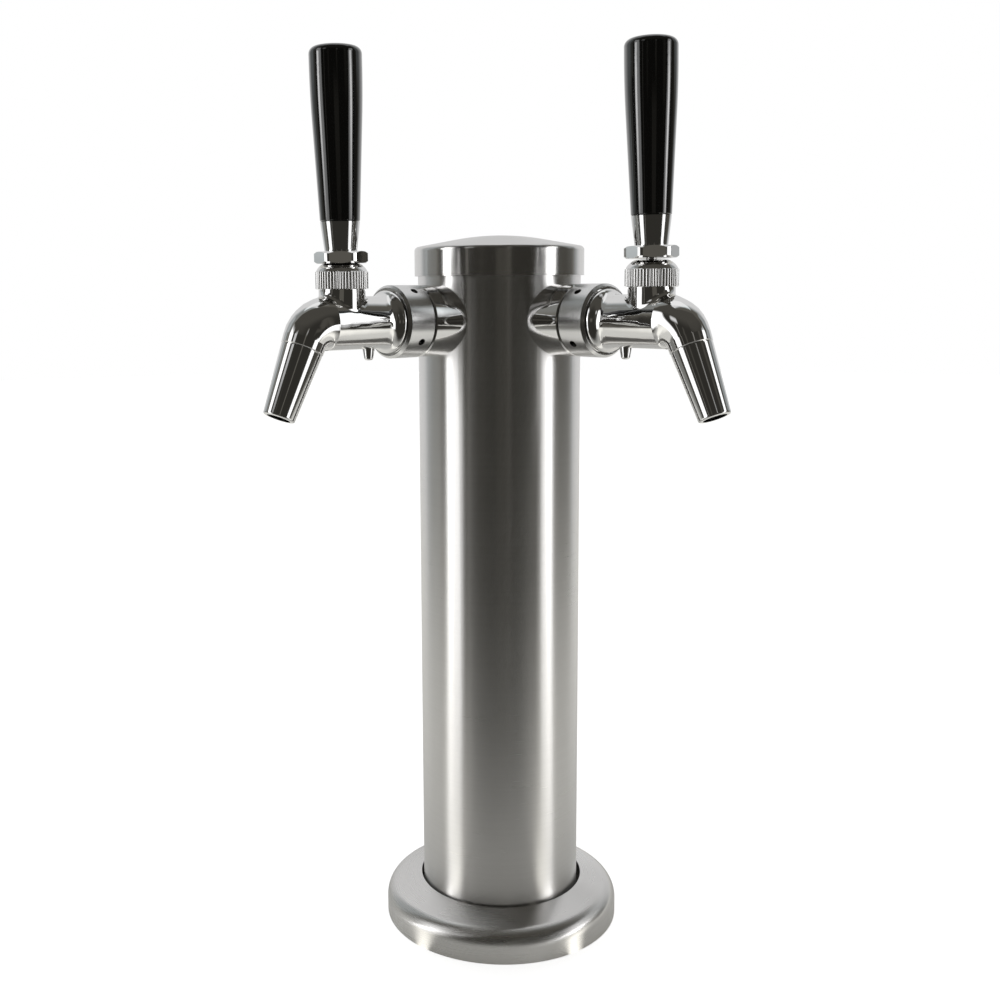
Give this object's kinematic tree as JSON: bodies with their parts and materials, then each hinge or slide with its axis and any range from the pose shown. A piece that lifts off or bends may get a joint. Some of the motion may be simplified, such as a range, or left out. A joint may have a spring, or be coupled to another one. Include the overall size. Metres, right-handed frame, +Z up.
{
  "type": "beer tower dispenser",
  "caption": "Upright brushed steel drink tower on a round base, with side-by-side lever taps, black tapered handles and curved-down spouts.",
  "frame": {"origin": "centre of the base's underside, on the column's axis", "axes": "+Z up along the column, -Y to the front between the taps, +X to the right tap's side as seen from the front"},
  "size_m": [0.189, 0.1513, 0.4076],
  "materials": {
    "brushed_column": "satin brushed stainless steel",
    "polished_chrome": "mirror polished",
    "satin_turned": "satin turned, plated",
    "plain_steel": "machined stainless steel",
    "plated_nut": "plated",
    "black_grip": "glossy black",
    "seat_plastic": "natural acetal",
    "black_rubber": "black rubber"
  },
  "bodies": {
    "tower": {"column_tube": "brushed_column", "base_flange": "plain_steel", "base_gasket": "black_rubber", "left_saddle": "polished_chrome", "left_shank": "plain_steel", "left_shank_washer": "black_rubber", "left_shank_nut": "plated_nut", "left_tail_elbow": "plain_steel", "left_tail_washer": "black_rubber", "left_tail_nut": "plated_nut", "left_coupling_nut": "satin_turned", "left_coupling_snap_ring": "plain_steel", "left_coupling_washer": "black_rubber", "left_tap_body": "polished_chrome", "left_front_seat_o_ring": "black_rubber", "left_spout": "polished_chrome", "left_spout_o_ring": "black_rubber", "left_lower_ball_seat": "seat_plastic", "left_ball_o_ring": "black_rubber", "left_upper_ball_washer": "seat_plastic", "left_bonnet": "polished_chrome", "right_saddle": "polished_chrome", "right_shank": "plain_steel", "right_shank_washer": "black_rubber", "right_shank_nut": "plated_nut", "right_tail_elbow": "plain_steel", "right_tail_washer": "black_rubber", "right_tail_nut": "plated_nut", "right_coupling_nut": "satin_turned", "right_coupling_snap_ring": "plain_steel", "right_coupling_washer": "black_rubber", "right_tap_body": "polished_chrome", "right_front_seat_o_ring": "black_rubber", "right_spout": "polished_chrome", "right_spout_o_ring": "black_rubber", "right_lower_ball_seat": "seat_plastic", "right_ball_o_ring": "black_rubber", "right_upper_ball_washer": "seat_plastic", "right_bonnet": "polished_chrome"},
    "cap": {"top_cap": "brushed_column"},
    "cover_ring": {"base_cover_ring": "brushed_column"},
    "left_lever": {"left_lever": "plain_steel", "left_handle_jam_nut": "polished_chrome", "left_handle_ferrule": "polished_chrome", "left_handle_grip": "black_grip"},
    "left_shuttle": {"left_shuttle": "plain_steel"},
    "right_lever": {"right_lever": "plain_steel", "right_handle_jam_nut": "polished_chrome", "right_handle_ferrule": "polished_chrome", "right_handle_grip": "black_grip"},
    "right_shuttle": {"right_shuttle": "plain_steel"}
  },
  "joints": [
    {"name": "cap_lift", "type": "slide", "parent": "tower", "child": "cap", "axis": [0, 0, 1], "range_m": [0, 0.03]},
    {"name": "cover_ring_lift", "type": "slide", "parent": "tower", "child": "cover_ring", "axis": [0, 0, 1], "range_m": [0, 0.2]},
    {"name": "left_lever_pull", "type": "hinge", "parent": "tower", "child": "left_lever", "pos_m": [-0.06456, -0.06456, 0.3046], "axis": [0.7071, -0.7071, 0], "range_deg": [0, 15]},
    {"name": "left_shuttle_slide", "type": "slide", "parent": "tower", "child": "left_shuttle", "axis": [0.7071, 0.7071, 0], "range_m": [0, 0.00295]},
    {"name": "right_lever_pull", "type": "hinge", "parent": "tower", "child": "right_lever", "pos_m": [0.06456, -0.06456, 0.3046], "axis": [0.7071, 0.7071, 0], "range_deg": [0, 15]},
    {"name": "right_shuttle_slide", "type": "slide", "parent": "tower", "child": "right_shuttle", "axis": [-0.7071, 0.7071, 0], "range_m": [0, 0.00295]}
  ],
  "couplings": [
    {"joint": "left_shuttle_slide", "follows": "left_lever_pull", "m_per_rad": 0.011073},
    {"joint": "right_shuttle_slide", "follows": "right_lever_pull", "m_per_rad": 0.011073}
  ]
}
